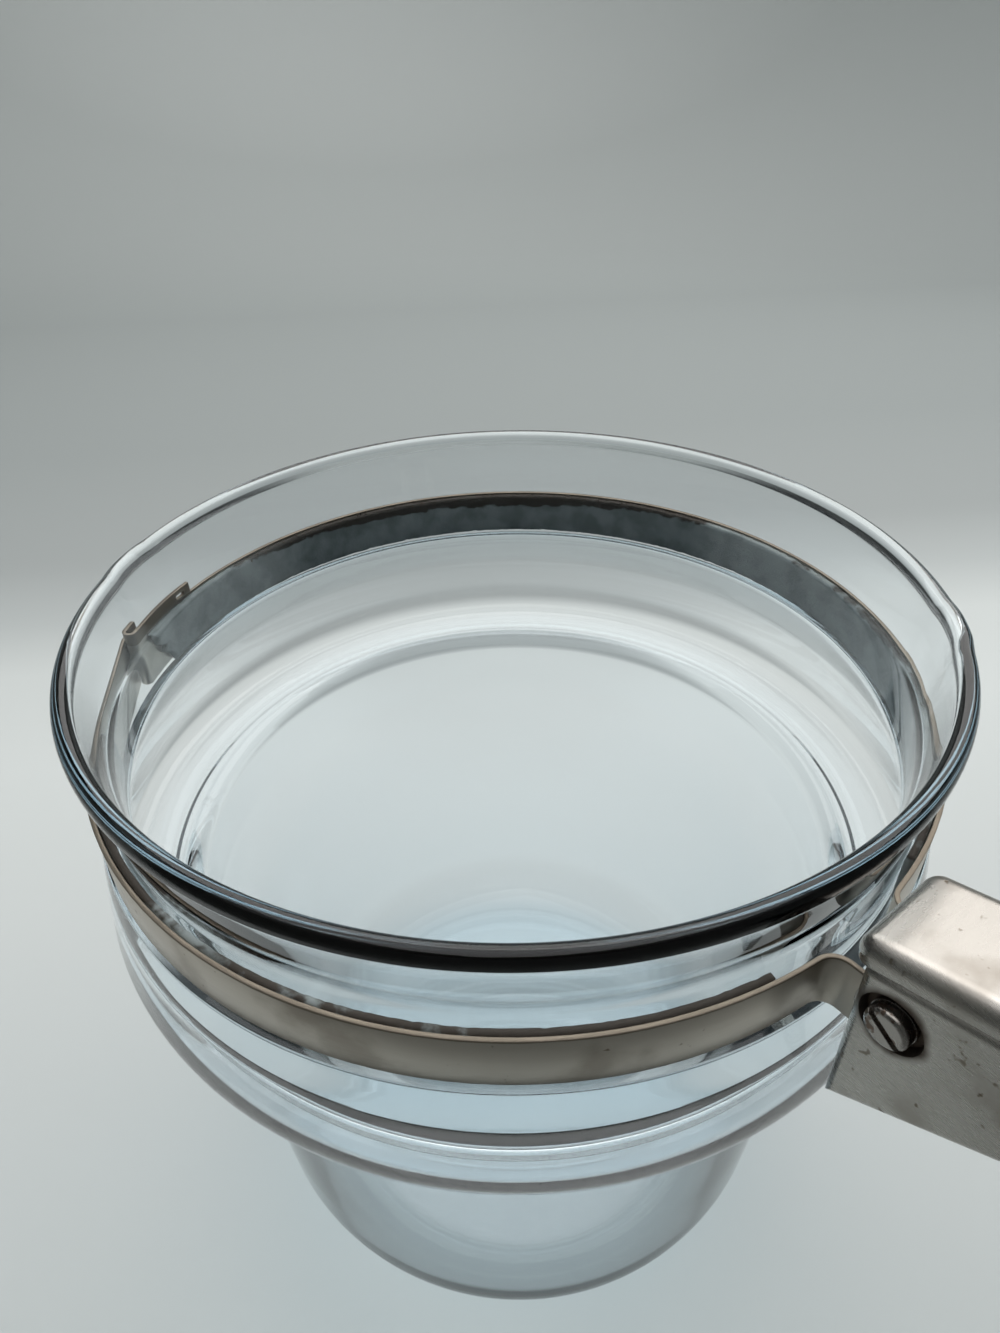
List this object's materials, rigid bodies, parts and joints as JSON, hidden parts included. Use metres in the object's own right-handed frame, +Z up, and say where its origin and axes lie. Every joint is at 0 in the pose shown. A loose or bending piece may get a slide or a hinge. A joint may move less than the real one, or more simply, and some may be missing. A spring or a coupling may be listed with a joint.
{
  "type": "double boiler insert",
  "caption": "Clear glass upper vessel of a double boiler: strap groove, resting shoulder and round-bottomed well, with a clamped steel strap, bracket and glass handle.",
  "frame": {"origin": "centre of the foot, on the surface that the vessel stands on", "axes": "+Z up along the vessel's axis, +X along the handle"},
  "size_m": [0.2871, 0.1538, 0.1584],
  "materials": {
    "vessel_glass": "clear, pale blue",
    "handle_glass": "clear, pale blue",
    "strap_steel": "satin, worn",
    "bracket_steel": "satin, lightly pitted",
    "screw_steel": "worn plating with rust in the corners",
    "cushion": "matt grey fibre strip"
  },
  "bodies": {
    "vessel": {"glass_vessel": "vessel_glass", "rear_strap": "strap_steel", "rear_liner": "cushion", "rear_cheek": "bracket_steel", "bracket_cap": "bracket_steel", "nut_washer": "screw_steel", "clamp_nut": "screw_steel", "glass_handle": "handle_glass", "handle_bush": "cushion", "rear_handle_pad": "cushion", "front_handle_pad": "cushion"},
    "front_clamp": {"front_strap": "strap_steel", "front_liner": "cushion", "front_cheek": "bracket_steel"},
    "washer": {"head_washer": "screw_steel"},
    "screw": {"clamp_screw": "screw_steel"}
  },
  "joints": [
    {"name": "clamp_swing", "type": "hinge", "parent": "vessel", "child": "front_clamp", "pos_m": [-0.05377, -0.05193, 0.12875], "axis": [0, 0, -1], "range_deg": [0, 0.754]},
    {"name": "screw_travel", "type": "slide", "parent": "vessel", "child": "washer", "axis": [0, -1, 0], "range_m": [0, 0.00181]},
    {"name": "screw_turn", "type": "hinge", "parent": "washer", "child": "screw", "pos_m": [0.083, 0, 0.132], "axis": [0, -1, 0], "range_deg": [0, 1081]}
  ],
  "couplings": [
    {"joint": "screw_travel", "follows": "clamp_swing", "m_per_rad": 0.13677},
    {"joint": "screw_turn", "follows": "clamp_swing", "ratio": 1432.4}
  ]
}
